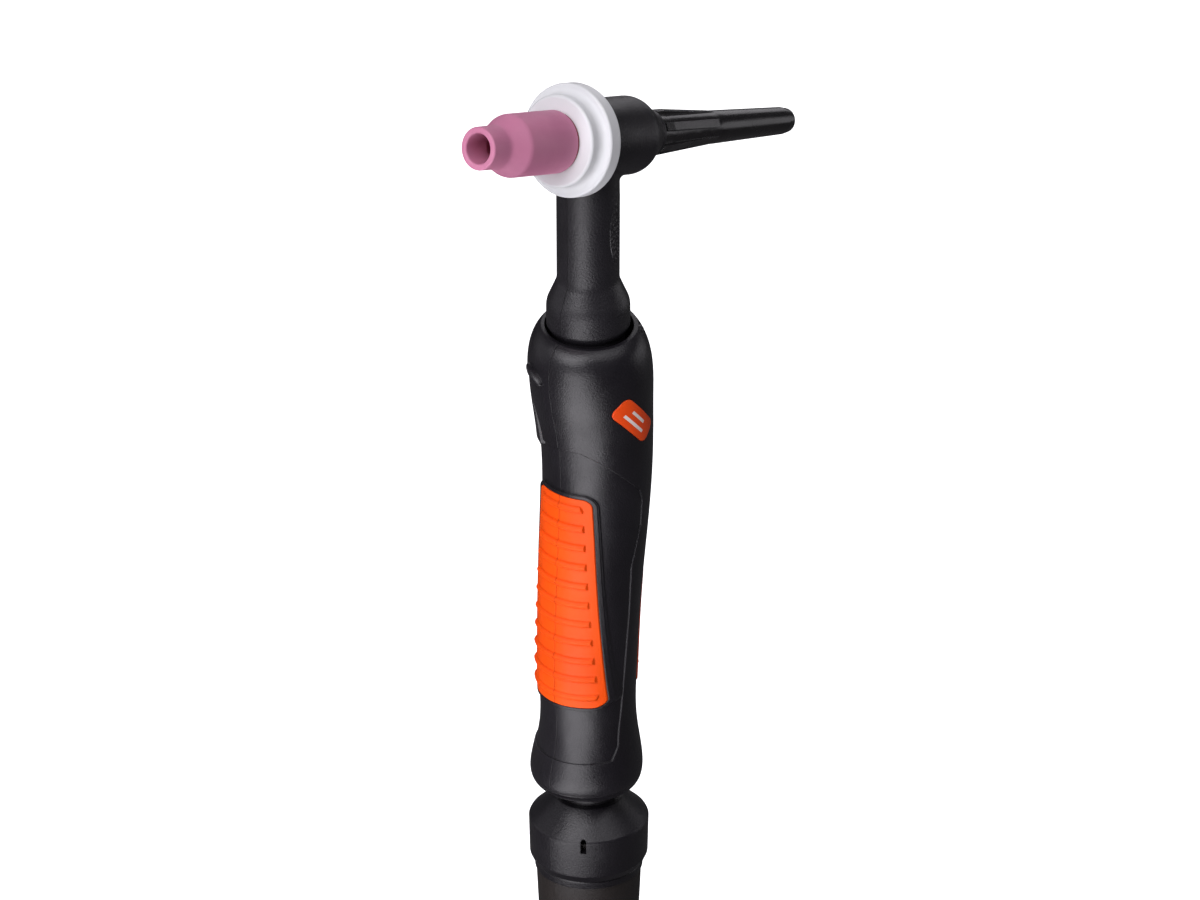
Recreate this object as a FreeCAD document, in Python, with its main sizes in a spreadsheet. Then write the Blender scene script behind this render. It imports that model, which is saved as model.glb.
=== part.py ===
import FreeCAD, Part
import math
import os

import Sketcher

# TIG welding torch: head, neck, two-shell handle, trigger switch and cable knuckle.
# Millimetres.  The origin is where the head axis crosses the handle axis.
# +X is the nozzle side, +Y the left side of the torch, +Z up the handle towards the head.

V = FreeCAD.Vector
doc = FreeCAD.newDocument("TigTorch")
sheet = doc.addObject("Spreadsheet::Sheet", "Sizes")
nodes = {}
cell = [0]


class Size:
    """A number together with the sheet expression that drives it."""

    def __init__(self, value, text):
        self.value = value
        self.text = text

    def __add__(self, other):
        return Size(self.value + val(other), "(%s + %s)" % (self.text, txt(other)))

    def __radd__(self, other):
        return Size(val(other) + self.value, "(%s + %s)" % (txt(other), self.text))

    def __sub__(self, other):
        return Size(self.value - val(other), "(%s - %s)" % (self.text, txt(other)))

    def __rsub__(self, other):
        return Size(val(other) - self.value, "(%s - %s)" % (txt(other), self.text))

    def __mul__(self, other):
        return Size(self.value * val(other), "(%s * %s)" % (self.text, txt(other)))

    def __neg__(self):
        return Size(-self.value, "(0 - %s)" % self.text)


def val(size):
    return size.value if isinstance(size, Size) else float(size)


def txt(size):
    return size.text if isinstance(size, Size) else repr(float(size))


def size(name, value):
    """One driving dimension in the sheet."""
    cell[0] += 1
    row = str(cell[0])
    sheet.set("A" + row, name)
    sheet.set("B" + row, str(value))
    sheet.setAlias("B" + row, name)
    return Size(float(value), "Sizes." + name)


# ---- driving dimensions -------------------------------------------------
head_tilt = size("head_tilt", 15)
rim_front = size("rim_front", 49.0)
cup_radius = size("cup_radius", 9.0)
nose_radius = size("nose_radius", 6.1)
nose_bore = size("nose_bore", 4.3)
cup_thread = size("cup_thread", 6.0)
flange_radius = size("flange_radius", 16.3)
flange_step = size("flange_step", 13.2)
seat_plane = size("seat_plane", 5.2)
flange_thick = size("flange_thick", 4.7)
gasket_thick = size("gasket_thick", 0.56)
rod_radius = size("rod_radius", 1.2)
core_radius = size("core_radius", 8.0)
barrel_radius = size("barrel_radius", 11.4)
barrel_back = size("barrel_back", 26.5)
cap_root = size("cap_root", 5.85)
cap_end = size("cap_end", 96.0)
neck_radius = size("neck_radius", 9.15)
neck_bore = size("neck_bore", 6.45)
bulge_radius = size("bulge_radius", 12.2)
bulge_depth = size("bulge_depth", 50.6)
tube_ring = size("tube_ring", 3.6)
shell_wall = size("shell_wall", 2.8)
pad_depth = size("pad_depth", 1.8)
pad_proud = size("pad_proud", 0.35)
pad_high = size("pad_high", 9.6)
pad_low = size("pad_low", 13.6)
seam = size("seam", 0.05)
trigger_turn = size("trigger_turn", -65)
pivot_out = size("pivot_out", 8.2)
pivot_down = size("pivot_down", 92.0)
ball_down = size("ball_down", 203.0)
ball_radius = size("ball_radius", 12.0)
stem_radius = size("stem_radius", 8.3)
collar_radius = size("collar_radius", 18.2)
boot_bore = size("boot_bore", 11.5)
boot_end = size("boot_end", 288.0)

# The rim of the handle dips towards this side (degrees round from the nozzle side).
rim_dip = size("rim_dip", 50)

# Handle cross-sections from the neck end down: depth, sideways shift, radius, dip.
STATIONS = [
    (58.6, -0.6, 14.1, 8),
    (61.0, -0.3, 16.0, 5),
    (66.5, -0.5, 17.8, 1),
    (75.0, -1.1, 18.3, 0),
    (94.0, -3.4, 16.9, 0),
    (112.0, -3.5, 16.3, 0),
    (136.0, -1.5, 15.6, 0),
    (164.0, 0.3, 14.95, 0),
    (182.0, 0.6, 14.6, 0),
    (198.0, 0.6, 16.2, 0),
    (205.5, 1.1, 16.95, 0),
    (211.0, 0.4, 12.9, 0),
]
stations = [
    (size("level_%02d" % i, z), size("shift_%02d" % i, x), size("girth_%02d" % i, r), dip)
    for i, (z, x, r, dip) in enumerate(STATIONS)
]


# ---- building blocks ----------------------------------------------------
def plane_of(body, role):
    for item in body.Origin.OriginFeatures:
        if getattr(item, "Role", "") == role:
            return item
    raise ValueError(role)


def new_sketch(body, role, lift=0.0):
    made = body.newObject("Sketcher::SketchObject", body.Name + "_outline")
    made.AttachmentSupport = [(plane_of(body, role), "")]
    made.MapMode = "FlatFace"
    if lift:
        made.AttachmentOffset = FreeCAD.Placement(V(0, 0, val(lift)), FreeCAD.Rotation())
        if isinstance(lift, Size):
            made.setExpression("AttachmentOffset.Base.z", lift.text)
    return made


def hold(made, kind, index, value):
    """Pin one corner of an outline to its distance from the sketch origin."""
    if not isinstance(value, Size) and value == 0:
        axis = -2 if kind == "DistanceX" else -1
        made.addConstraint(Sketcher.Constraint("PointOnObject", index, 1, axis))
        return
    number = made.addConstraint(Sketcher.Constraint(kind, -1, 1, index, 1, val(value)))
    if isinstance(value, Size):
        made.setExpression("Constraints[%d]" % number, value.text)


def draw(made, points):
    """Closed straight-sided outline with every corner dimensioned."""
    count = len(points)
    for i in range(count):
        ax, ay = points[i]
        bx, by = points[(i + 1) % count]
        made.addGeometry(Part.LineSegment(V(val(ax), val(ay), 0), V(val(bx), val(by), 0)))
    for i in range(count):
        made.addConstraint(Sketcher.Constraint("Coincident", i, 2, (i + 1) % count, 1))
    for i, (across, up) in enumerate(points):
        hold(made, "DistanceX", i, across)
        hold(made, "DistanceY", i, up)


def lathe(name, points):
    """Body turned about its own Z from (radius, height) corners."""
    body = doc.addObject("PartDesign::Body", name)
    made = new_sketch(body, "XZ_Plane")
    draw(made, points)
    turned = body.newObject("PartDesign::Revolution", name + "_turned")
    turned.Profile = made
    turned.ReferenceAxis = (made, ["V_Axis"])
    turned.Angle = 360
    body.Tip = turned
    return body


def rounded(body, radius, spots):
    """Fillet the circular edges of a turned body found by radius and height."""
    doc.recompute()
    names = []
    for i, edge in enumerate(body.Tip.Shape.Edges):
        curve = edge.Curve
        if not isinstance(curve, Part.Circle):
            continue
        for across, up in spots:
            if abs(curve.Radius - val(across)) < 0.01 and abs(curve.Center.z - val(up)) < 0.01:
                names.append("Edge%d" % (i + 1))
    base = body.Tip
    soft = body.newObject("PartDesign::Fillet", body.Name + "_round")
    soft.Base = (base, names)
    soft.Radius = val(radius)
    if isinstance(radius, Size):
        soft.setExpression("Radius", radius.text)
    body.Tip = soft
    return body


def put(thing, x=0, y=0, z=0, axis=(0, 0, 1), angle=0.0):
    """Place an object, keeping driven coordinates tied to the sheet."""
    thing.Placement = FreeCAD.Placement(
        V(val(x), val(y), val(z)), FreeCAD.Rotation(V(*axis), val(angle))
    )
    for letter, value in zip("xyz", (x, y, z)):
        if isinstance(value, Size):
            thing.setExpression("Placement.Base." + letter, value.text)
    return thing


def rod(name, radius, height):
    made = doc.addObject("Part::Cylinder", name)
    for field, value in (("Radius", radius), ("Height", height)):
        setattr(made, field, val(value))
        if isinstance(value, Size):
            made.setExpression(field, value.text)
    return made


def block(name, low, high, turn=0.0):
    """Box between two corners, turned about the handle axis."""
    made = doc.addObject("Part::Box", name)
    for field, a, b in zip(("Length", "Width", "Height"), low, high):
        setattr(made, field, val(b) - val(a))
        if isinstance(a, Size) or isinstance(b, Size):
            made.setExpression(field, "%s - %s" % (txt(b), txt(a)))
    spin = FreeCAD.Rotation(V(0, 0, 1), val(turn))
    made.Placement = FreeCAD.Placement(spin.multVec(V(*[val(a) for a in low])), spin)
    return made


def fuse(name, *shapes):
    made = doc.addObject("Part::MultiFuse", name)
    made.Shapes = list(shapes)
    return made


def common(name, *shapes):
    made = doc.addObject("Part::MultiCommon", name)
    made.Shapes = list(shapes)
    return made


def cut(name, base, *tools):
    made = doc.addObject("Part::Cut", name)
    made.Base = base
    made.Tool = tools[0] if len(tools) == 1 else fuse(name + "_tools", *tools)
    made.Refine = False
    return made


def cut_in_turn(name, base, tools):
    """Take the tools away one after another."""
    made = base
    for i, tool in enumerate(tools):
        made = cut("%s_%02d" % (name, i), made, tool)
    return made


def free(thing):
    """Let a driven position go before the part is swung round."""
    for letter in "xyz":
        thing.setExpression("Placement.Base." + letter, None)


def on_head(thing):
    """Swing a part whose Z is the head axis into the tilted head direction."""
    free(thing)
    angle = 90 - head_tilt.value
    thing.Placement = FreeCAD.Placement(V(0, 0, 0), FreeCAD.Rotation(V(0, 1, 0), angle))
    return thing


def swung(azimuth, spot, twist=None):
    """Placement at a spot measured outwards, swung round the handle axis."""
    own = FreeCAD.Placement(spot, twist or FreeCAD.Rotation())
    return FreeCAD.Placement(V(0, 0, 0), FreeCAD.Rotation(V(0, 0, 1), azimuth)).multiply(own)


def to_trigger(thing):
    """Swing a part built facing +X round to the side where the trigger sits."""
    free(thing)
    turn = FreeCAD.Placement(V(0, 0, 0), FreeCAD.Rotation(V(0, 0, 1), trigger_turn.value))
    thing.Placement = turn.multiply(thing.Placement)
    return thing


def keep(name, thing):
    thing.Label = name
    nodes[name] = thing
    return thing


# ---- head ---------------------------------------------------------------
flange_front = seat_plane + flange_thick
step_front = flange_front + flange_thick
gasket_front = step_front + gasket_thick
cup_back = gasket_front + 0.02
core_end = 7.5 - barrel_back


def ceramic_cup():
    body = lathe("ceramic_cup", [
        (cup_thread, cup_back), (cup_radius, cup_back),
        (cup_radius, rim_front - 13.2), (nose_radius + 0.1, rim_front - 7.4),
        (nose_radius, rim_front), (nose_bore, rim_front), (nose_bore, rim_front - 9.0),
        (cup_thread - 0.6, rim_front - 12.0), (cup_thread - 0.6, rim_front - 20.0),
        (cup_thread, rim_front - 21.0),
    ])
    rounded(body, 4.0, [(cup_radius, rim_front - 13.2), (nose_radius + 0.1, rim_front - 7.4)])
    rounded(body, 0.55, [(nose_radius, rim_front), (nose_bore, rim_front)])
    rounded(body, 0.8, [(cup_radius, cup_back)])
    return keep("ceramic_cup", on_head(body))


def cup_gasket():
    body = lathe("cup_gasket", [
        (cup_thread + 0.3, step_front), (cup_radius - 0.45, step_front),
        (cup_radius - 0.45, gasket_front), (cup_thread + 0.3, gasket_front),
    ])
    return keep("cup_gasket", on_head(body))


def cup_insulator():
    bore = 4.3
    body = lathe("cup_insulator", [
        (bore, seat_plane), (flange_radius, seat_plane), (flange_radius, flange_front),
        (flange_step, flange_front), (flange_step, step_front), (bore, step_front),
    ])
    rounded(body, 2.2, [(flange_step, flange_front)])
    rounded(body, 0.7, [(flange_radius, flange_front), (flange_radius, seat_plane)])
    rounded(body, 0.9, [(flange_step, step_front)])
    return keep("cup_insulator", on_head(body))


def collet_body():
    blank = lathe("collet_body_blank", [
        (1.66, -8.0), (4.2, -8.0), (4.2, step_front + 0.3), (5.95, step_front + 0.3),
        (5.95, 26.0), (3.3, 27.5), (3.3, 36.0), (2.4, 37.5), (1.25, 37.5), (1.25, 33.0),
        (1.66, 32.2),
    ])
    ports = []
    for i in range(4):
        port = rod("gas_port_%d" % i, 0.7, 8.0)
        put(port, 0, 0, 30.0, (0, 1, 0), 90)
        port.Placement = FreeCAD.Placement(
            V(0, 0, 0), FreeCAD.Rotation(V(0, 0, 1), 90 * i)).multiply(port.Placement)
        ports.append(port)
    return keep("collet_body", on_head(cut("collet_body_bored", blank, *ports)))


def collet():
    blank = lathe("collet_tube", [
        (rod_radius + 0.02, -12.5), (1.6, -12.5), (1.6, 31.0), (1.45, 32.0),
        (rod_radius + 0.02, 32.0),
    ])
    slit = block("collet_slit", (-0.2, -2.0, 14.0), (0.2, 2.0, 33.0))
    return keep("collet", on_head(cut("collet_slotted", blank, slit)))


def tungsten_electrode():
    body = lathe("tungsten_electrode", [
        (0, -88.0), (rod_radius, -88.0), (rod_radius, 18.5), (0.15, 22.0), (0, 22.0),
    ])
    return keep("tungsten_electrode", on_head(body))


def head_core():
    turned = on_head(lathe("core_turned", [
        (4.25, seat_plane - 0.2), (4.25, -8.4), (2.2, -8.6), (2.2, -11.0), (5.0, -11.2),
        (5.0, core_end), (core_radius, core_end), (core_radius, seat_plane - 0.2),
    ]))
    boss = put(rod("core_boss", neck_bore - 0.05, 8.0), 0, 0, -12.0)
    hollow = on_head(lathe("core_hollow", [
        (0, seat_plane + 3), (0, -30.0), (5.0, -30.0), (5.0, -11.2), (2.2, -11.0),
        (2.2, -8.6), (4.25, -8.4), (4.25, seat_plane + 3),
    ]))
    sockets = []
    for i, (x, y, radius) in enumerate(tube_spots()):
        socket = put(rod("core_socket_%d" % i, radius, 3.0), x, y, -12.0)
        drill = put(rod("core_drill_%d" % i, radius * 0.6, 7.5), x, y, -10.0)
        sockets += [socket, drill]
    return keep("head_core", cut("core_body", fuse("core_blank", turned, boss), hollow, *sockets))


def tube_spots():
    """Centre and radius of the power, water and gas tubes."""
    spots = []
    for offset, radius in ((180, 2.4), (60, 2.0), (-60, 2.0)):
        angle = math.radians(trigger_turn.value + offset)
        ring = tube_ring.value
        spots.append((ring * math.cos(angle), ring * math.sin(angle), radius))
    return spots


def head_cover():
    barrel = lathe("cover_barrel", [
        (0, 14.0), (barrel_radius, 14.0), (barrel_radius, 8.0 - barrel_back),
        (cap_root + 1.05, -barrel_back), (cap_root + 1.05, -1.6 - barrel_back),
        (0, -1.6 - barrel_back),
    ])
    rounded(barrel, 7.0, [(barrel_radius, 8.0 - barrel_back)])
    rounded(barrel, 0.5, [(cap_root + 1.05, -1.6 - barrel_back)])
    neck = lathe("cover_neck", [
        (0, -0.5), (neck_radius - 0.25, -0.5), (neck_radius, -18.0),
        (neck_radius - 0.05, 7.0 - bulge_depth), (bulge_radius, -bulge_depth),
        (bulge_radius, -7.2 - bulge_depth), (10.6, -60.6), (10.6, -66.4), (9.0, -66.4),
        (9.0, -69.1), (11.0, -69.1), (11.0, -71.5), (0, -71.5),
    ])
    rounded(neck, 5.0, [(neck_radius - 0.05, 7.0 - bulge_depth)])
    rounded(neck, 7.5, [(bulge_radius, -bulge_depth)])
    rounded(neck, 1.5, [(bulge_radius, -7.2 - bulge_depth)])
    blank = fuse("cover_blank", on_head(barrel), neck)
    doc.recompute()
    saddle = []
    for i, edge in enumerate(blank.Shape.Edges):
        box = edge.BoundBox
        wraps = box.YMax - box.YMin > 8 and box.XMax - box.XMin > 12
        if wraps and box.ZMax < -5 and box.ZMin > -17 and abs(box.XMin + box.XMax) < 3:
            saddle.append((i + 1, 2.6, 2.6))
    soft = doc.addObject("Part::Fillet", "cover_soft")
    soft.Base = blank
    soft.Edges = saddle
    front = block("cover_front", (0, -30, -30), (30, 30, 30))
    tilt = FreeCAD.Placement(V(0, 0, 0), FreeCAD.Rotation(V(0, 1, 0), -head_tilt.value))
    shove = FreeCAD.Placement(V(seat_plane.value, -30, -30), FreeCAD.Rotation())
    front.Placement = tilt.multiply(shove)
    pocket = on_head(lathe("cover_pocket", [
        (0, seat_plane + 1), (0, -35.0), (cap_root, -35.0), (cap_root, core_end - 0.05),
        (core_radius + 0.03, core_end - 0.05), (core_radius + 0.03, seat_plane + 1),
    ]))
    channel = put(rod("cover_channel", neck_bore, 68.0), 0, 0, -72.0)
    dimple = doc.addObject("Part::Ellipsoid", "cover_dimple")
    dimple.Radius1 = 9.9
    dimple.Radius2 = 1.0
    dimple.Radius3 = 4.2
    dimple.Placement = swung(103, V(9.6, 0, -27.5))
    return keep("head_cover", cut("cover_hollow", soft, front, pocket, channel, dimple))


def back_cap():
    root = -1.9 - barrel_back
    groove = 0.7 - barrel_back
    body = lathe("back_cap_turned", [
        (1.35, -12.7), (4.0, -12.7), (4.95, -13.7), (4.95, groove + 2.2), (4.5, groove + 2.0),
        (4.5, groove), (4.95, groove - 0.2), (4.95, root), (cap_root + 0.1, root),
        (cap_root - 0.3, root - 4.5), (4.1, 4.4 - cap_end), (3.5, 0.7 - cap_end), (0, -cap_end),
        (0, 4.5 - cap_end), (2.2, 4.5 - cap_end), (2.2, -16.5), (1.35, -15.5),
    ])
    rounded(body, 1.6, [(4.1, 4.4 - cap_end), (3.5, 0.7 - cap_end)])
    rib_sketch = new_sketch(body, "XZ_Plane")
    draw(rib_sketch, [
        (4.0, root - 0.4), (cap_root + 0.75, root - 0.4), (cap_root + 0.75, root - 4.0),
        (4.4, root - 34.0), (4.0, root - 34.0),
    ])
    rib = body.newObject("PartDesign::Pad", "back_cap_rib")
    rib.Profile = rib_sketch
    rib.Length = 2.4
    rib.Midplane = True
    ribs = body.newObject("PartDesign::PolarPattern", "back_cap_ribs")
    ribs.Originals = [rib]
    ribs.Axis = (rib_sketch, ["V_Axis"])
    ribs.Angle = 360
    ribs.Occurrences = 6
    body.Tip = ribs
    return keep("back_cap", on_head(body))


def back_cap_oring():
    ring = doc.addObject("Part::Torus", "back_cap_oring")
    ring.Radius1 = 5.17
    ring.Radius2 = 0.66
    angle = FreeCAD.Rotation(V(0, 1, 0), 90 - head_tilt.value)
    middle = 1.7 - barrel_back.value
    ring.Placement = FreeCAD.Placement(angle.multVec(V(0, 0, middle)), angle)
    return keep("back_cap_oring", ring)


# ---- tubes, fittings and hoses ------------------------------------------
FITTING_TOPS = (74.0, 92.0, 110.0)
HOSE_END = 187.5


def water_and_gas():
    names = ("power_water", "water", "gas")
    hose_sizes = (3.3, 2.65, 2.6)
    for name, (x, y, radius), top, hose_radius in zip(names, tube_spots(), FITTING_TOPS, hose_sizes):
        bore = radius * 0.6
        tube = lathe(name + "_tube", [
            (bore, -9.0), (radius, -9.0), (radius, -top - 4.0), (bore, -top - 4.0),
        ])
        keep(name + "_tube", put(tube, x, y))
        tail = radius - 0.15
        fitting = lathe(name + "_fitting", [
            (radius, -top), (radius + 0.8, -top), (radius + 0.8, -top - 5.0),
            (tail, -top - 5.0), (tail, -top - 7.0), (tail + 0.25, -top - 7.0),
            (tail, -top - 9.5), (tail + 0.25, -top - 9.5), (tail, -top - 12.0), (bore, -top - 12.0),
            (bore, -top - 4.0), (radius, -top - 4.0),
        ])
        keep(name + "_fitting", put(fitting, x, y))
        grip = tail + 0.25
        hose = lathe(name + "_hose", [
            (grip, -top - 5.3), (hose_radius, -top - 5.3), (hose_radius, -HOSE_END),
            (bore, -HOSE_END), (bore, -top - 12.5), (grip, -top - 12.5),
        ])
        keep(name + "_hose", put(hose, x, y))


def switch_cable():
    lead = to_trigger(put(rod("switch_cable", 1.1, HOSE_END - 83.0), 5.5, -5.5, -HOSE_END))
    return keep("switch_cable", lead)


# ---- handle -------------------------------------------------------------
def skin(name, grow, first=0, last=None, ends=None, flare=0.0):
    """Solid through the handle cross-sections, grown outwards, more so further down with a flare."""
    rings = []
    used = list(stations[first:last])
    if ends:
        used = [ends[0]] + used + [ends[1]]
    side = math.radians(rim_dip.value)
    hinge = V(-math.sin(side), math.cos(side), 0)
    for i, (level, shift, girth, dip) in enumerate(used):
        ring = doc.addObject("Part::Circle", "%s_ring_%02d" % (name, i))
        radius = girth + grow + flare * (val(level) - pivot_down.value)
        ring.Radius = val(radius)
        ring.setExpression("Radius", txt(radius))
        put(ring, shift, 0, -level, (0, 0, 1), 120)
        lean = FreeCAD.Rotation(hinge, dip).multiply(FreeCAD.Rotation(V(0, 0, 1), 120))
        ring.Placement = FreeCAD.Placement(ring.Placement.Base, lean)
        rings.append(ring)
    made = doc.addObject("Part::Loft", name)
    made.Sections = rings
    made.Solid = True
    made.Ruled = False
    return made


def across(level):
    """Shift and radius of the handle at a depth, straight between cross-sections."""
    for low, high in zip(STATIONS, STATIONS[1:]):
        if low[0] <= level <= high[0]:
            k = (level - low[0]) / (high[0] - low[0])
            return low[1] + k * (high[1] - low[1]), low[2] + k * (high[2] - low[2])
    raise ValueError(level)


def prism(name, role, points, length, corner=0.0):
    """Outline on a main plane, padded both ways."""
    body = doc.addObject("PartDesign::Body", name)
    made = new_sketch(body, role)
    draw(made, points)
    pad = body.newObject("PartDesign::Pad", name + "_pad")
    pad.Profile = made
    pad.Length = length
    pad.Midplane = True
    body.Tip = pad
    if corner:
        doc.recompute()
        axis = V(1, 0, 0) if role == "YZ_Plane" else V(0, 1, 0)
        names = []
        for i, edge in enumerate(pad.Shape.Edges):
            if abs(edge.tangentAt(edge.FirstParameter).dot(axis)) > 0.99:
                names.append("Edge%d" % (i + 1))
        soft = body.newObject("PartDesign::Fillet", name + "_corners")
        soft.Base = (pad, names)
        soft.Radius = corner
        body.Tip = soft
    return body


def pad_outline(name, high, low, top, bottom, gap, front):
    """Tapering pad seen from the front or the back, widened by a gap."""
    body = prism(name, "YZ_Plane", [
        (-high - gap, gap - top), (high + gap, gap - top),
        (low + gap, -gap - bottom), (-low - gap, -gap - bottom),
    ], 40.0, 2.6 + gap)
    return put(body, 20.0 if front else -20.0)


def keep_left(whole, name, label):
    """The +Y side of the split plane, less half the seam."""
    away = block(name + "_away", (-40, -40, -230), (40, 0.05, -40))
    away.setExpression("Width", "40 + " + seam.text)
    keep(label, cut(name, whole, away))


def keep_right(whole, name, label):
    """The -Y side of the split plane, less half the seam."""
    away = block(name + "_away", (-40, -0.05, -230), (40, 40, -40))
    away.setExpression("Placement.Base.y", "0 - " + seam.text)
    keep(label, cut(name, whole, away))


def handle_parts():
    outer = skin("skin_outer", 0.0)
    top_end = (Size(69.05, "69.05"), Size(-0.6, "-0.6"), Size(17.95, "17.95"), 0)
    low_end = (Size(193.4, "193.4"), Size(0.45, "0.45"), Size(15.5, "15.5"), 0)
    inner = skin("skin_inner", -shell_wall, 3, 9, (top_end, low_end))
    under = skin("skin_under_pad", -pad_depth)
    proud = skin("skin_proud", pad_proud)
    face = skin("skin_panel", -0.4)
    wide = skin("skin_wide", 4.0)

    front_lip = pad_outline("front_lip", pad_high, pad_low, 109.0, 177.5, 1.1, True)
    raised = common("front_lip_raised", cut("lip_band", proud, under), front_lip)
    cheeks = []
    for i, side in enumerate((-1, 1)):
        low_w, high_w = sorted((side * 7.75, side * 9.5))
        cheeks.append(block("cheek_%d" % i, (6.6, low_w, -97.0), (30.0, high_w, -72.0), trigger_turn))
    bosses = []
    screws = screw_spots()
    for i, (x, z) in enumerate(screws):
        boss = rod("boss_%d" % i, 3.1, 60.0)
        bosses.append(put(boss, x, 30.0, z, (1, 0, 0), 90))
    ribs = common("inside_ribs", outer, fuse("rib_blanks", *(cheeks + bosses)))
    pip = doc.addObject("Part::Ellipsoid", "shoulder_pip")
    pip.Radius1 = 1.5
    pip.Radius2 = 1.3
    pip.Radius3 = 1.8
    pip.Placement = swung(132, V(14.9, 0, -60.6))
    body = fuse("handle_blank", cut("handle_hollow", outer, inner), ribs, raised, pip)

    cuts = []
    cone = doc.addObject("Part::Cone", "neck_funnel")
    cone.Radius1 = 12.0
    cone.Radius2 = 13.6
    cone.Height = 13.0
    cuts.append(put(cone, -0.5, 0, -66.5))
    cuts.append(put(rod("neck_clamp", 9.05, 10.0), 0, 0, -75.0))
    cuts.append(put(rod("seat_top", 11.0, 6.0), 0, 0, -197.0))
    cuts.append(put(rod("seat_bore", 13.45, 13.5), 0, 0, -209.5))
    cuts.append(put(rod("seat_mouth", 10.9, 6.0), 0, 0, -214.0))
    cuts.append(block("trigger_window", (6.0, -7.75, -95.3), (40.0, 7.75, -70.9), trigger_turn))
    pin_hole = to_trigger(put(rod("pin_hole", 1.01, 18.6), pivot_out, 9.3, -pivot_down, (1, 0, 0), 90))
    cuts.append(pin_hole)
    front_pocket = pad_outline("front_pocket", pad_high, pad_low, 109.0, 177.5, 0.22, True)
    cuts.append(common("front_pocket_skin", cut("skin_band", wide, under), front_pocket))
    rear_pocket = pad_outline("rear_pocket", 10.6, 12.0, 139.0, 177.0, 0.22, False)
    cuts.append(common("rear_pocket_skin", cut("skin_band_rear", wide, under), rear_pocket))
    panel = prism("panel_outline", "XZ_Plane", [
        (-0.8, -149.0), (-1.2, -133.5), (-5.1, -121.0), (-5.5, -112.6), (-4.0, -108.6),
        (8.1, -97.0), (12.0, -93.6), (30.0, -93.4), (30.0, -197.1), (6.5, -196.4),
        (3.8, -192.5), (2.2, -182.4),
    ], 60.0)
    cuts.append(cut("panel_step", cut("panel_band", common("panel_skin", wide, panel), face),
                    pad_outline("panel_keep", pad_high, pad_low, 109.0, 177.5, 1.25, True)))
    for i, (x, z) in enumerate(screws):
        cuts.append(put(rod("screw_hole_%d" % i, 1.25, 18.0), x, 8.5, z, (1, 0, 0), 90))
        cuts.append(put(rod("screw_well_%d" % i, 2.55, 20.0), x, -9.0, z, (1, 0, 0), 90))
    scoop = doc.addObject("Part::Ellipsoid", "trigger_scoop")
    scoop.Radius1 = 1.3
    scoop.Radius2 = 1.9
    scoop.Radius3 = 4.6
    scoop.Placement = swung(trigger_turn.value + 43.5, V(17.5, 0, -70.5), FreeCAD.Rotation(V(1, 0, 0), -25))
    cuts.append(scoop)
    badge_low = badge_block("badge_well", 0.1)
    badge_bed = skin("skin_badge_bed", -0.7)
    cuts.append(cut("badge_pocket", badge_low, badge_bed))
    finished = cut_in_turn("handle_finished", body, cuts)

    keep_left(finished, "shell_left", "handle_shell_left")
    keep_right(finished, "shell_right", "handle_shell_right")

    badge_top = skin("skin_badge_top", 0.15)
    plate = cut("badge_plate", common("badge_blank", badge_block("badge_size", 0.0), badge_top),
                badge_bed)
    keep("side_badge", plate)

    band = cut("pad_band", proud, under)
    grips("front_grip", band, pad_high, pad_low, 109.0, 177.5, True, 112.2, 6.18, 11, 1.2)
    grips("rear_grip", band, 10.6, 12.0, 139.0, 177.0, False, 145.0, 6.5, 5, 0.6)


def badge_block(name, gap):
    """Small plate lying at 45 degrees on the left side."""
    made = doc.addObject("Part::Box", name)
    made.Length = 18.8 + 2 * gap
    made.Width = 30.0
    made.Height = 7.2 + 2 * gap
    middle = FreeCAD.Placement(V(-0.4, 0, -84.4), FreeCAD.Rotation(V(0, 1, 0), -45))
    corner = FreeCAD.Placement(V(-9.4 - gap, 2.0, -3.3 - gap), FreeCAD.Rotation())
    made.Placement = middle.multiply(corner)
    soft = doc.addObject("Part::Fillet", name + "_corners")
    soft.Base = made
    doc.recompute()
    picked = []
    for i, edge in enumerate(made.Shape.Edges):
        if abs(edge.tangentAt(edge.FirstParameter).y) > 0.99:
            picked.append((i + 1, 2.5, 2.5))
    soft.Edges = picked
    return soft


def screw_spots():
    """Screw centres behind the hoses, seen from the side."""
    spots = []
    for level in (104.0, 131.0, 186.0):
        shift, radius = across(level)
        spots.append((shift - radius + 6.0, -level))
    return spots


def grips(name, band, high, low, top, bottom, front, first_rib, pitch, count, rise):
    """Ribbed soft pad in two halves; the ribs stand up by the given rise."""
    outline = pad_outline(name + "_outline", high, low, top, bottom, 0.0, front)
    inset = pad_outline(name + "_inset", high - 2.2, low - 1.2, top + 1.5, bottom - 1.5, 0.0, front)
    rings = []
    for i in range(count):
        level = first_rib + pitch * i
        shift, radius = across(level)
        ring = doc.addObject("Part::Torus", "%s_rib_%02d" % (name, i))
        ring.Radius1 = radius + rise - 1.15
        ring.Radius2 = 1.15
        rings.append(put(ring, shift, 0, -level, (0, 0, 1), 120))
    ribbing = common(name + "_ribbing", fuse(name + "_rings", *rings), inset)
    whole = fuse(name + "_whole", common(name + "_sheet", band, outline), ribbing)
    keep_left(whole, name + "_l", name + "_left")
    keep_right(whole, name + "_r", name + "_right")


def shell_screws():
    screws = []
    for i, (x, z) in enumerate(screw_spots()):
        shank = put(rod("screw_shank_%d" % i, 1.2, 16.5), x, 7.4, z, (1, 0, 0), 90)
        head = put(rod("screw_head_%d" % i, 2.4, 1.8), x, -9.02, z, (1, 0, 0), 90)
        slot = put(rod("screw_socket_%d" % i, 1.0, 1.4), x, -9.8, z, (1, 0, 0), 90)
        screws.append(cut("screw_%d" % i, fuse("screw_blank_%d" % i, shank, head), slot))
    group = doc.addObject("Part::Compound", "screws")
    group.Links = screws
    return keep("shell_screws", group)


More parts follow.
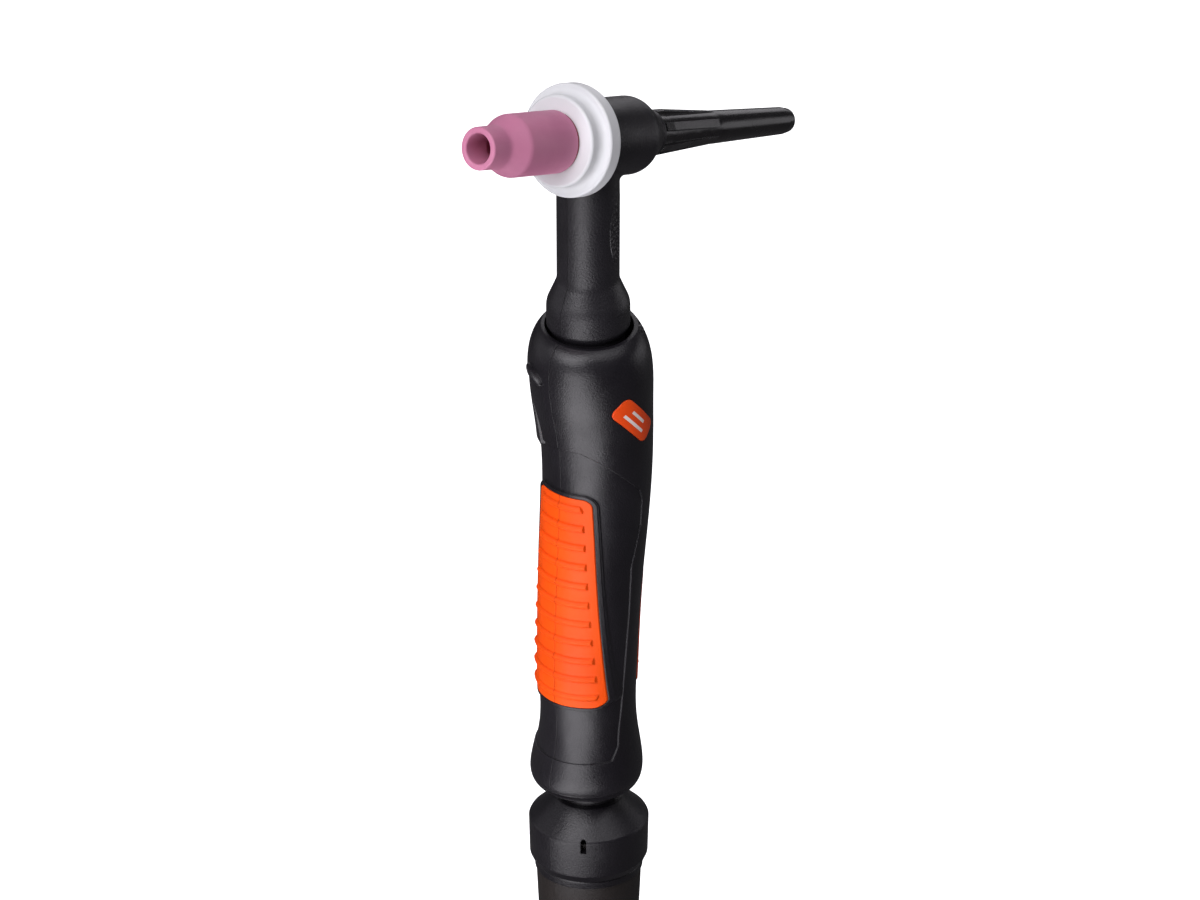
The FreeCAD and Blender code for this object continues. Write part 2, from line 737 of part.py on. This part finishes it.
# ---- trigger and switch -------------------------------------------------
def trigger_parts():
    reach = skin("skin_trigger", 0.5, 1, 7, None, 0.047)
    slab = block("paddle_slab", (6.0, -7.5, -95.0), (40.0, 7.5, -71.9), trigger_turn)
    hollow = skin("skin_trigger_inside", -2.4)
    paddle = cut("paddle_shell", common("paddle_blank", reach, slab), hollow)
    arm = block("trigger_arm", (pivot_out - 2.0, -4.0, -94.0), (13.5, 4.0, -90.0), trigger_turn)
    pusher = block("trigger_pusher", (13.6, -2.0, -76.4), (16.2, 2.0, -75.8), trigger_turn)
    hole = to_trigger(put(rod("trigger_eye", 1.05, 20.0), pivot_out, 10.0, -pivot_down, (1, 0, 0), 90))
    thumb = doc.addObject("Part::Ellipsoid", "trigger_thumb")
    thumb.Radius1 = 9.0
    thumb.Radius2 = 1.2
    thumb.Radius3 = 6.0
    thumb.Placement = swung(trigger_turn.value, V(18.0, 0, -77.0), FreeCAD.Rotation(V(0, 1, 0), 4))
    lever = cut("lever", fuse("lever_blank", paddle, arm, pusher), hole, thumb)
    keep("trigger_lever", lever)
    pin = to_trigger(put(rod("pin", 1.0, 18.4), pivot_out, 9.2, -pivot_down, (1, 0, 0), 90))
    keep("trigger_pin", pin)

    case = block("switch_case", (4.4, -7.7, -83.0), (10.0, 7.7, -73.0), trigger_turn)
    plunger_hole = to_trigger(put(rod("plunger_hole", 1.25, 6.0), 6.0, 0, -76.0, (0, 1, 0), 90))
    spring_hole = to_trigger(put(rod("spring_hole", 2.5, 6.0), 6.2, 0, -80.2, (0, 1, 0), 90))
    keep("switch_body", cut("switch_block", case, plunger_hole, spring_hole))
    plunger = to_trigger(put(rod("plunger", 1.2, 5.98), 7.6, 0, -76.0, (0, 1, 0), 90))
    keep("switch_plunger", plunger)

    helix = doc.addObject("Part::Helix", "spring_path")
    helix.Pitch = 1.44
    helix.Height = 7.2
    helix.Radius = 1.75
    wire = doc.addObject("Part::Circle", "spring_wire")
    wire.Radius = 0.22
    wire.Placement = FreeCAD.Placement(V(1.75, 0, 0), FreeCAD.Rotation(V(1, 0, 0), 90))
    coil = doc.addObject("Part::Sweep", "spring_coil")
    coil.Sections = [wire]
    coil.Spine = (helix, [])
    coil.Solid = True
    coil.Frenet = True
    to_trigger(put(coil, 6.5, 0, -80.2, (0, 1, 0), 90))
    keep("trigger_spring", coil)


# ---- knuckle ------------------------------------------------------------
def knuckle_parts():
    sleeve = lathe("seat_sleeve", [
        (6.0, -6.4), (13.4, -6.4), (13.4, 6.9), (6.0, 6.9),
    ])
    socket = doc.addObject("Part::Sphere", "seat_socket")
    socket.Radius = val(ball_radius + 0.05)
    socket.setExpression("Radius", txt(ball_radius + 0.05))
    opening = put(rod("seat_opening", 9.9, 20.0), 0, 0, -10.0)
    keep("ball_seat", put(cut("seat", sleeve, socket, opening), 0, 0, -ball_down))

    ball = doc.addObject("Part::Sphere", "ball")
    ball.Radius = val(ball_radius)
    ball.setExpression("Radius", ball_radius.text)
    stem = lathe("stem", [
        (0, -4.0), (stem_radius, -4.0), (stem_radius, -19.0), (12.0, -19.0), (12.0, -22.0), (0, -22.0),
    ])
    crown = put(rod("ball_crown", 20.0, 10.0), 0, 0, 9.0)
    bore = put(rod("ball_bore", 7.0, 60.0), 0, 0, -30.0)
    whole = cut("ball_with_stem", fuse("ball_blank", ball, stem), crown, bore)
    keep("ball_stem", put(whole, 0, 0, -ball_down))

    top = -215.6
    body = lathe("collar", [
        (stem_radius + 0.08, top), (10.3, top), (collar_radius - 0.3, -222.6),
        (collar_radius, -223.2), (collar_radius - 0.25, -235.0), (collar_radius - 1.2, -237.2),
        (15.0, -237.2), (15.0, -221.95), (stem_radius + 0.08, -221.95),
    ])
    rounded(body, 0.35, [(10.3, top)])
    slots = []
    for i in range(2):
        turn = 35 + 180 * i
        window = block("latch_%d" % i, (14.0, -0.85, -226.6), (25.0, 0.85, -222.9), turn)
        arch = rod("latch_arch_%d" % i, 0.85, 11.0)
        arch.Placement = swung(turn, V(14.0, 0, -222.9), FreeCAD.Rotation(V(0, 1, 0), 90))
        slots += [window, arch]
    keep("swivel_collar", cut("collar_cut", body, *slots))

    ring = lathe("boot_ring", [
        (15.05, -237.55), (16.2, -237.55), (16.5, -238.0), (16.4, -240.0), (15.05, -240.0),
    ])
    keep("boot_ring", ring)
    boot = lathe("cable_boot", [
        (boot_bore, -225.2), (14.9, -225.2), (14.9, -237.4), (15.0, -237.4), (15.0, -240.05),
        (16.0, -240.05), (15.8, -245.0), (14.0, 1.5 - boot_end), (13.2, -boot_end),
        (boot_bore, -boot_end),
    ])
    keep("cable_boot", boot)


# ---- assemble -----------------------------------------------------------
def build():
    ceramic_cup()
    cup_gasket()
    cup_insulator()
    collet_body()
    collet()
    tungsten_electrode()
    head_core()
    head_cover()
    back_cap()
    back_cap_oring()
    water_and_gas()
    switch_cable()
    handle_parts()
    shell_screws()
    trigger_parts()
    knuckle_parts()


def check_and_write():
    doc.recompute()
    bad = []
    for item in doc.Objects:
        if "Invalid" in item.State or "Error" in item.State:
            bad.append(item.Name + " " + ",".join(item.State))
    for name, item in nodes.items():
        shape = item.Shape
        if shape.isNull() or not shape.isValid() or not shape.Solids:
            bad.append(name + " has no sound shape")
    if bad:
        raise RuntimeError("; ".join(bad))
    os.makedirs("parts", exist_ok=True)
    for name, item in nodes.items():
        item.Shape.exportStep("parts/%s.step" % name)
        print("%-22s solids %d  volume %9.2f" % (name, len(item.Shape.Solids), item.Shape.Volume))


build()
check_and_write()
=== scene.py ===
import math

import bpy
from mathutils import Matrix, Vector


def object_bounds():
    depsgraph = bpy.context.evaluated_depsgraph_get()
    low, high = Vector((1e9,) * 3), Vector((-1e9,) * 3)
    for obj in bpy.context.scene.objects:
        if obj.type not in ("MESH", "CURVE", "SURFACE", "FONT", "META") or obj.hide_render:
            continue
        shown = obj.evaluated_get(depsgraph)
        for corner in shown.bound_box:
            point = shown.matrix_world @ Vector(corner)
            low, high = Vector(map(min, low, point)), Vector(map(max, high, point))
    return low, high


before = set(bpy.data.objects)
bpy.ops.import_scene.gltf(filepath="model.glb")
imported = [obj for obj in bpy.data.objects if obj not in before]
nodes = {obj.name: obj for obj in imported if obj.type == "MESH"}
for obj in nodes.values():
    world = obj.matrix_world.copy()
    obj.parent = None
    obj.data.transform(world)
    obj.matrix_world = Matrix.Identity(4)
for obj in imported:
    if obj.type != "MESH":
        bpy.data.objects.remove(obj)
cad_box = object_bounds()

# lengths in metres, angles in degrees
EDGE_SOFT = 0.0004
FINE_EDGE_SOFT = 0.0003
METAL_EDGE_SOFT = 0.0002
RECESS_TURN = 103
RECESS_HALF_WIDTH = 0.0031
RECESS_HALF_HEIGHT = 0.0092
RECESS_LEVEL = -0.0275
LIP_LEVELS = (-0.2075, -0.2095)
PIT_TURN = -21.5
PIT_RADIUS = 0.0172
PIT_LEVEL = -0.0705
BADGE_MIDDLE = (-0.0004, -0.0844)
FLOOR_GAP = 0.0005
LAMP_TINT = (0.975, 0.95, 1.0)


# ---- materials ----------------------------------------------------------
class Shade:
    """A small builder for one procedural material, in object coordinates (metres)."""

    def __init__(self, name):
        self.mat = bpy.data.materials.new(name)
        self.mat.use_nodes = True
        self.tree = self.mat.node_tree
        self.bsdf = self.tree.nodes["Principled BSDF"]
        coords = self.tree.nodes.new("ShaderNodeTexCoord")
        self.place = coords.outputs["Object"]

    def link(self, a, b):
        self.tree.links.new(a, b)

    def mapped(self, scale):
        node = self.tree.nodes.new("ShaderNodeMapping")
        node.inputs["Scale"].default_value = scale
        self.link(self.place, node.inputs["Vector"])
        return node.outputs["Vector"]

    def noise(self, scale, detail=3.0, rough=0.55, where=None):
        node = self.tree.nodes.new("ShaderNodeTexNoise")
        node.inputs["Scale"].default_value = scale
        node.inputs["Detail"].default_value = detail
        node.inputs["Roughness"].default_value = rough
        self.link(where or self.place, node.inputs["Vector"])
        return node.outputs["Fac"]

    def cells(self, scale):
        node = self.tree.nodes.new("ShaderNodeTexVoronoi")
        node.inputs["Scale"].default_value = scale
        self.link(self.place, node.inputs["Vector"])
        return node.outputs["Distance"]

    def ramp(self, value, stops):
        node = self.tree.nodes.new("ShaderNodeValToRGB")
        ramp = node.color_ramp
        while len(ramp.elements) < len(stops):
            ramp.elements.new(0.5)
        for element, (where, colour) in zip(ramp.elements, stops):
            element.position = where
            element.color = (*colour, 1.0) if isinstance(colour, tuple) else (colour,) * 3 + (1.0,)
        self.link(value, node.inputs["Fac"])
        return node.outputs["Color"]

    def math(self, kind, a, b):
        node = self.tree.nodes.new("ShaderNodeMath")
        node.operation = kind
        for socket, value in zip(node.inputs, (a, b)):
            if isinstance(value, (int, float)):
                socket.default_value = value
            else:
                self.link(value, socket)
        return node.outputs[0]

    def mix(self, factor, a, b):
        node = self.tree.nodes.new("ShaderNodeMix")
        node.data_type = "RGBA"
        for socket, value in zip((node.inputs[0], node.inputs[6], node.inputs[7]), (factor, a, b)):
            if isinstance(value, tuple):
                socket.default_value = (*value, 1.0)
            elif isinstance(value, (int, float)):
                socket.default_value = value
            else:
                self.link(value, socket)
        return node.outputs[2]

    def colour(self, value):
        self.link(value, self.bsdf.inputs["Base Color"])

    def rough(self, value, low, high):
        node = self.tree.nodes.new("ShaderNodeMapRange")
        node.inputs["To Min"].default_value = low
        node.inputs["To Max"].default_value = high
        node.inputs["From Min"].default_value = 0.3
        node.inputs["From Max"].default_value = 0.7
        self.link(value, node.inputs["Value"])
        self.link(node.outputs["Result"], self.bsdf.inputs["Roughness"])

    def part_of(self, axis):
        node = self.tree.nodes.new("ShaderNodeSeparateXYZ")
        self.link(self.place, node.inputs[0])
        return node.outputs[axis]

    def fade(self, value, inner, outer):
        """1 below the inner limit, falling to 0 at the outer limit."""
        node = self.tree.nodes.new("ShaderNodeMapRange")
        node.inputs["From Min"].default_value = inner
        node.inputs["From Max"].default_value = outer
        node.inputs["To Min"].default_value = 1.0
        node.inputs["To Max"].default_value = 0.0
        self.link(value, node.inputs["Value"])
        return node.outputs["Result"]

    def soften(self, radius):
        """Rounded-edge normal, and a 0 to 1 mask of how far it leans."""
        self.soft = self.tree.nodes.new("ShaderNodeBevel")
        self.soft.samples = 3
        self.soft.inputs["Radius"].default_value = radius
        geometry = self.tree.nodes.new("ShaderNodeNewGeometry")
        dot = self.tree.nodes.new("ShaderNodeVectorMath")
        dot.operation = "DOT_PRODUCT"
        self.link(self.soft.outputs["Normal"], dot.inputs[0])
        self.link(geometry.outputs["Normal"], dot.inputs[1])
        lean = self.math("SUBTRACT", 1.0, dot.outputs["Value"])
        return self.math("MINIMUM", self.math("MULTIPLY", lean, 5.0), 1.0)

    def bump(self, height, depth):
        node = self.tree.nodes.new("ShaderNodeBump")
        node.inputs["Distance"].default_value = depth
        self.link(height, node.inputs["Height"])
        self.link(self.soft.outputs["Normal"], node.inputs["Normal"])
        self.link(node.outputs["Normal"], self.bsdf.inputs["Normal"])


def moulded(name, base, light, rough, grain, depth, coat=0.0, extra=None, shine=0.5):
    """Moulded plastic or rubber: mottled colour, fine spark texture, scuffed edges."""
    s = Shade(name)
    tint = s.mix(s.ramp(s.noise(38.0, 4.0), [(0.3, 0.0), (0.72, 1.0)]), base, light)
    scuffs = s.ramp(s.noise(260.0), [(0.4, 0.0), (0.7, 1.0)])
    wear = s.math("MULTIPLY", s.soften(EDGE_SOFT), scuffs)
    scuffed = tuple(min(1.0, c * 1.7 + 0.012) for c in light)
    tint = s.mix(s.math("MULTIPLY", wear, 0.3), tint, scuffed)
    fine = s.noise(grain, 2.0, 0.6)
    if extra:
        tint, fine = extra(s, tint, fine)
    s.colour(tint)
    s.rough(s.noise(120.0, 4.0), rough - 0.06, rough + 0.07)
    s.bump(fine, depth)
    s.bsdf.inputs["Coat Weight"].default_value = coat
    s.bsdf.inputs["Specular IOR Level"].default_value = shine
    s.bsdf.inputs["Coat Roughness"].default_value = 0.2
    return s


def head_marks(s, tint, fine):
    """Mould line round the middle of the head and a rough patch in the oval recess."""
    side = s.math("ABSOLUTE", s.part_of("Y"), 0.0)
    line = s.fade(side, 0.00005, 0.0002)
    turn = math.radians(RECESS_TURN)
    across = s.math("ADD", s.math("MULTIPLY", s.part_of("X"), -math.sin(turn) / RECESS_HALF_WIDTH),
                    s.math("MULTIPLY", s.part_of("Y"), math.cos(turn) / RECESS_HALF_WIDTH))
    along = s.math("MULTIPLY", s.math("ADD", s.part_of("Z"), -RECESS_LEVEL), 1.0 / RECESS_HALF_HEIGHT)
    reach = s.math("ADD", s.math("MULTIPLY", across, across), s.math("MULTIPLY", along, along))
    left_half = s.math("GREATER_THAN", s.part_of("Y"), 0.0)
    outside = s.math("MULTIPLY", left_half, s.fade(reach, 0.85, 1.0))
    rough = s.math("MULTIPLY", s.math("MULTIPLY", s.cells(820.0), 4.0), outside)
    return tint, s.math("ADD", fine, s.math("ADD", s.math("MULTIPLY", line, 1.6), rough))


def shell_lips_and_pit_shade(s, tint, fine):
    """Two turned lips round the foot of the handle, and painted shade: the sunk pit by the trigger is
    coloured near black and loses its specular.
    """
    level = s.part_of("Z")
    lips = None
    for height in LIP_LEVELS:
        away = s.math("ABSOLUTE", s.math("SUBTRACT", level, height), 0.0)
        lip = s.fade(away, 0.0001, 0.0005)
        lips = lip if lips is None else s.math("ADD", lips, lip)
    turn = math.radians(PIT_TURN)
    pit = Vector((PIT_RADIUS * math.cos(turn), PIT_RADIUS * math.sin(turn), PIT_LEVEL))
    gap = s.tree.nodes.new("ShaderNodeVectorMath")
    gap.operation = "DISTANCE"
    s.link(s.place, gap.inputs[0])
    gap.inputs[1].default_value = pit
    near = s.fade(gap.outputs["Value"], 0.0044, 0.0048)
    x = s.math("ADD", s.part_of("X"), 0.0007)
    y = s.part_of("Y")
    out = s.math("SQRT", s.math("ADD", s.math("MULTIPLY", x, x), s.math("MULTIPLY", y, y)), 0.0)
    # painted shade: surfaces sunk inside the shell near the pit become near black with no specular,
    # standing in for the shade in the recess
    painted_pit_shade = s.math("MULTIPLY", near, s.fade(out, 0.01755, 0.01775))
    s.link(s.math("MULTIPLY", s.math("SUBTRACT", 1.0, painted_pit_shade), 0.5), s.bsdf.inputs["Specular IOR Level"])
    dark = s.mix(painted_pit_shade, tint, (0.001, 0.001, 0.001))
    return dark, s.math("ADD", fine, s.math("MULTIPLY", lips, 5.0))


def badge_marks(s, tint, fine):
    """Plain pale bars across the plate, in place of any wording."""
    half = math.sqrt(0.5)
    long_way = s.math("MULTIPLY", s.math("ADD", s.part_of("X"), s.part_of("Z")), half)
    short_way = s.math("MULTIPLY", s.math("SUBTRACT", s.part_of("Z"), s.part_of("X")), half)
    middle_x, middle_z = BADGE_MIDDLE
    middle_long = (middle_x + middle_z) * half
    middle_short = (middle_z - middle_x) * half + 0.0003
    off = s.math("ABSOLUTE", s.math("SUBTRACT", long_way, middle_long), 0.0)
    bars = None
    for spot, reach in ((0.0012, 0.0036), (-0.0012, 0.0054)):
        gap = s.math("ABSOLUTE", s.math("SUBTRACT", short_way, middle_short + spot), 0.0)
        bar = s.math("MULTIPLY", s.fade(gap, 0.0004, 0.0005), s.fade(off, reach, reach + 0.0001))
        bars = bar if bars is None else s.math("ADD", bars, bar)
    return s.mix(bars, tint, (0.86, 0.78, 0.74)), fine


def metal(name, base, dark, rough, along):
    """Turned or drawn metal: fine lines round the piece and a little tarnish."""
    s = Shade(name)
    lines = s.noise(1.0, 2.0, 0.5, s.mapped(along))
    s.colour(s.mix(s.ramp(s.noise(90.0, 5.0), [(0.35, 0.0), (0.75, 1.0)]), base, dark))
    s.rough(s.noise(220.0, 4.0), rough - 0.08, rough + 0.1)
    s.soften(METAL_EDGE_SOFT)
    s.bump(lines, 0.00001)
    s.bsdf.inputs["Metallic"].default_value = 1.0
    return s


def ceramic():
    """Fired alumina: chalky pink, faint speckle and kiln blush."""
    s = Shade("pink_alumina")
    cloud = s.ramp(s.noise(70.0, 5.0), [(0.32, 0.0), (0.7, 1.0)])
    tint = s.mix(cloud, (0.50, 0.165, 0.285), (0.59, 0.215, 0.345))
    specks = s.ramp(s.cells(1900.0), [(0.0, 1.0), (0.16, 0.0)])
    s.colour(s.mix(s.math("MULTIPLY", specks, 0.18), tint, (0.32, 0.085, 0.145)))
    s.rough(s.noise(160.0, 3.0), 0.52, 0.66)
    s.soften(FINE_EDGE_SOFT)
    s.bump(s.noise(2600.0, 3.0), 0.00003)
    return s


def white_resin():
    """Turned PTFE: warm white, waxy, with fine surface grain and light handling marks."""
    s = Shade("white_ptfe")
    cloud = s.ramp(s.noise(55.0, 4.0), [(0.35, 0.0), (0.75, 1.0)])
    s.colour(s.mix(cloud, (0.73, 0.74, 0.75), (0.67, 0.68, 0.69)))
    s.rough(s.noise(180.0, 4.0), 0.36, 0.5)
    s.soften(EDGE_SOFT)
    s.bump(s.noise(1500.0, 2.0), 0.00002)
    return s


def dress(names, shade):
    """Give every named piece the one material."""
    for name in names:
        mesh = nodes[name].data
        mesh.materials.clear()
        mesh.materials.append(shade.mat)


dress(["ceramic_cup"], ceramic())
dress(["cup_insulator"], white_resin())
dress(["cup_gasket", "back_cap_oring"],
      moulded("dark_red_silicone", (0.16, 0.010, 0.010), (0.22, 0.016, 0.014), 0.45, 1500.0, 0.00002))
dress(["collet_body", "collet", "power_water_tube", "water_tube", "gas_tube"],
      metal("copper", (0.80, 0.42, 0.28), (0.42, 0.20, 0.13), 0.32, (300.0, 300.0, 9000.0)))
dress(["tungsten_electrode"],
      metal("tungsten", (0.52, 0.52, 0.54), (0.34, 0.34, 0.36), 0.35, (5000.0, 5000.0, 5000.0)))
dress(["head_core", "power_water_fitting", "water_fitting", "gas_fitting"],
      metal("brass", (0.74, 0.56, 0.26), (0.48, 0.34, 0.15), 0.30, (300.0, 300.0, 9000.0)))
dress(["trigger_pin", "trigger_spring", "shell_screws"],
      metal("plated_steel", (0.60, 0.60, 0.61), (0.40, 0.40, 0.42), 0.30, (4000.0, 4000.0, 4000.0)))
dress(["head_cover"],
      moulded("head_black", (0.007, 0.006, 0.008), (0.012, 0.011, 0.014), 0.42, 1700.0, 0.00012,
              extra=head_marks))
dress(["back_cap"],
      moulded("cap_black", (0.006, 0.005, 0.006), (0.011, 0.010, 0.011), 0.24, 2200.0, 0.00002, 0.15))
dress(["power_water_hose", "water_hose", "gas_hose", "switch_cable"],
      moulded("hose_rubber", (0.025, 0.025, 0.026), (0.04, 0.04, 0.042), 0.6, 1800.0, 0.00003))
dress(["handle_shell_left", "handle_shell_right"],
      moulded("handle_black", (0.006, 0.005, 0.007), (0.010, 0.009, 0.012), 0.34, 2100.0, 0.00008,
              extra=shell_lips_and_pit_shade))
dress(["trigger_lever", "swivel_collar", "boot_ring"],
      moulded("collar_black", (0.006, 0.005, 0.007), (0.010, 0.009, 0.012), 0.34, 2100.0, 0.00008))
dress(["front_grip_left", "front_grip_right", "rear_grip_left", "rear_grip_right"],
      moulded("orange_grip", (0.80, 0.068, 0.001), (0.90, 0.088, 0.002), 0.5, 1600.0, 0.00003,
              shine=0.22))
dress(["side_badge"],
      moulded("orange_badge", (0.86, 0.068, 0.003), (0.94, 0.088, 0.006), 0.4, 1200.0, 0.00001,
              extra=badge_marks))
dress(["switch_body", "switch_plunger"],
      moulded("switch_plastic", (0.05, 0.05, 0.055), (0.08, 0.08, 0.085), 0.42, 1500.0, 0.00002))
dress(["ball_seat", "ball_stem"],
      moulded("knuckle_nylon", (0.010, 0.009, 0.011), (0.016, 0.015, 0.017), 0.36, 1900.0, 0.00002))
dress(["cable_boot"],
      moulded("boot_rubber", (0.014, 0.011, 0.010), (0.022, 0.017, 0.015), 0.48, 1500.0, 0.00005))

# ---- stage --------------------------------------------------------------
floor_z = cad_box[0][2] - FLOOR_GAP
bpy.ops.mesh.primitive_plane_add(size=12.0, location=(0, 0, floor_z))
floor = bpy.context.object
floor.name = "floor"
paint = Shade("pale_floor")
tone = paint.ramp(paint.noise(3.0, 3.0), [(0.3, (0.96, 0.96, 0.96)), (0.7, (1.0, 1.0, 1.0))])
paint.colour(tone)
paint.bsdf.inputs["Roughness"].default_value = 0.8


def seen_and_felt(tree, seen, felt, out):
    """One look for the camera and a dimmer one for every other ray."""
    path = tree.nodes.new("ShaderNodeLightPath")
    blend = tree.nodes.new("ShaderNodeMixShader")
    tree.links.new(path.outputs["Is Camera Ray"], blend.inputs[0])
    tree.links.new(felt, blend.inputs[1])
    tree.links.new(seen, blend.inputs[2])
    tree.links.new(blend.outputs[0], out)


glow = paint.tree.nodes.new("ShaderNodeEmission")
paint.link(tone, glow.inputs["Color"])
bright = paint.tree.nodes.new("ShaderNodeAddShader")
paint.link(glow.outputs[0], bright.inputs[0])
paint.link(paint.bsdf.outputs[0], bright.inputs[1])
dull = paint.tree.nodes.new("ShaderNodeBsdfDiffuse")
dull.inputs["Color"].default_value = (0.12, 0.12, 0.12, 1.0)
seen_and_felt(paint.tree, bright.outputs[0], dull.outputs[0],
              paint.tree.nodes["Material Output"].inputs["Surface"])
floor.data.materials.append(paint.mat)

world = bpy.data.worlds.new("studio")
bpy.context.scene.world = world
world.use_nodes = True
sky = world.node_tree.nodes["Background"]
sky.inputs["Color"].default_value = (1.0, 1.0, 1.0, 1.0)
sky.inputs["Strength"].default_value = 1.0
dim = world.node_tree.nodes.new("ShaderNodeBackground")
dim.inputs["Color"].default_value = (0.95, 0.96, 1.0, 1.0)
dim.inputs["Strength"].default_value = 0.06
seen_and_felt(world.node_tree, sky.outputs[0], dim.outputs[0],
              world.node_tree.nodes["World Output"].inputs["Surface"])


def softbox(name, place, aim, width, height, power):
    """Rectangular lamp that only the pieces see; sizes in metres, power in watts."""
    light = bpy.data.lights.new(name, "AREA")
    light.shape = "RECTANGLE"
    light.size = width
    light.size_y = height
    light.energy = power
    light.color = LAMP_TINT
    lamp = bpy.data.objects.new(name, light)
    bpy.context.scene.collection.objects.link(lamp)
    lamp.location = place
    lamp.visible_camera = False
    lamp.rotation_euler = (Vector(aim) - Vector(place)).to_track_quat("-Z", "Y").to_euler()


# ---- camera -------------------------------------------------------------
eye = Vector((1.0216, 0.8617, 0.5817))
target = Vector((-0.0022, 0.0026, -0.0993))
lens = bpy.data.cameras.new("camera")
lens.sensor_fit = "HORIZONTAL"
lens.angle = math.radians(13.361)
lens.clip_end = 30.0
camera = bpy.data.objects.new("camera", lens)
bpy.context.scene.collection.objects.link(camera)
camera.location = eye
camera.rotation_euler = (target - eye).to_track_quat("-Z", "Y").to_euler()
bpy.context.scene.camera = camera

look = (eye - target).normalized()
right = Vector((0, 0, 1)).cross(look).normalized()
middle = Vector((0, 0, -0.1))


def around(turn, rise, distance):
    """Point round the torch: degrees right of the camera, degrees up, metres out."""
    level = Vector((look.x, look.y, 0)).normalized()
    swing = math.radians(turn)
    flat = level * math.cos(swing) + right * math.sin(swing)
    return middle + flat * math.cos(math.radians(rise)) * distance + Vector((0, 0, 1)) * (
        math.sin(math.radians(rise)) * distance)


softbox("key", around(-38, 38, 1.1), middle, 0.8, 0.8, 9.5)
softbox("card", around(-24, -18, 0.46), middle, 0.34, 0.26, 1.1)
near = around(-22, 0, 0.24)
near.z = floor_z + 0.004
softbox("floor_card", near, near + Vector((0, 0, 1)), 0.26, 0.26, 0.8)
softbox("left", around(-100, 10, 1.0), middle, 0.8, 1.0, 1.1)
softbox("top", around(60, 62, 1.0), middle, 0.6, 0.6, 2.0)
softbox("back", around(172, 30, 1.1), middle, 0.9, 0.9, 2.4)
softbox("cap_strip", around(112, 4, 0.8), middle + Vector((0, 0, 0.1)), 0.5, 0.3, 0.45)
softbox("crown", around(-12, 63, 0.8), middle, 0.26, 0.26, 0.8)

bpy.context.scene.view_settings.view_transform = "Standard"
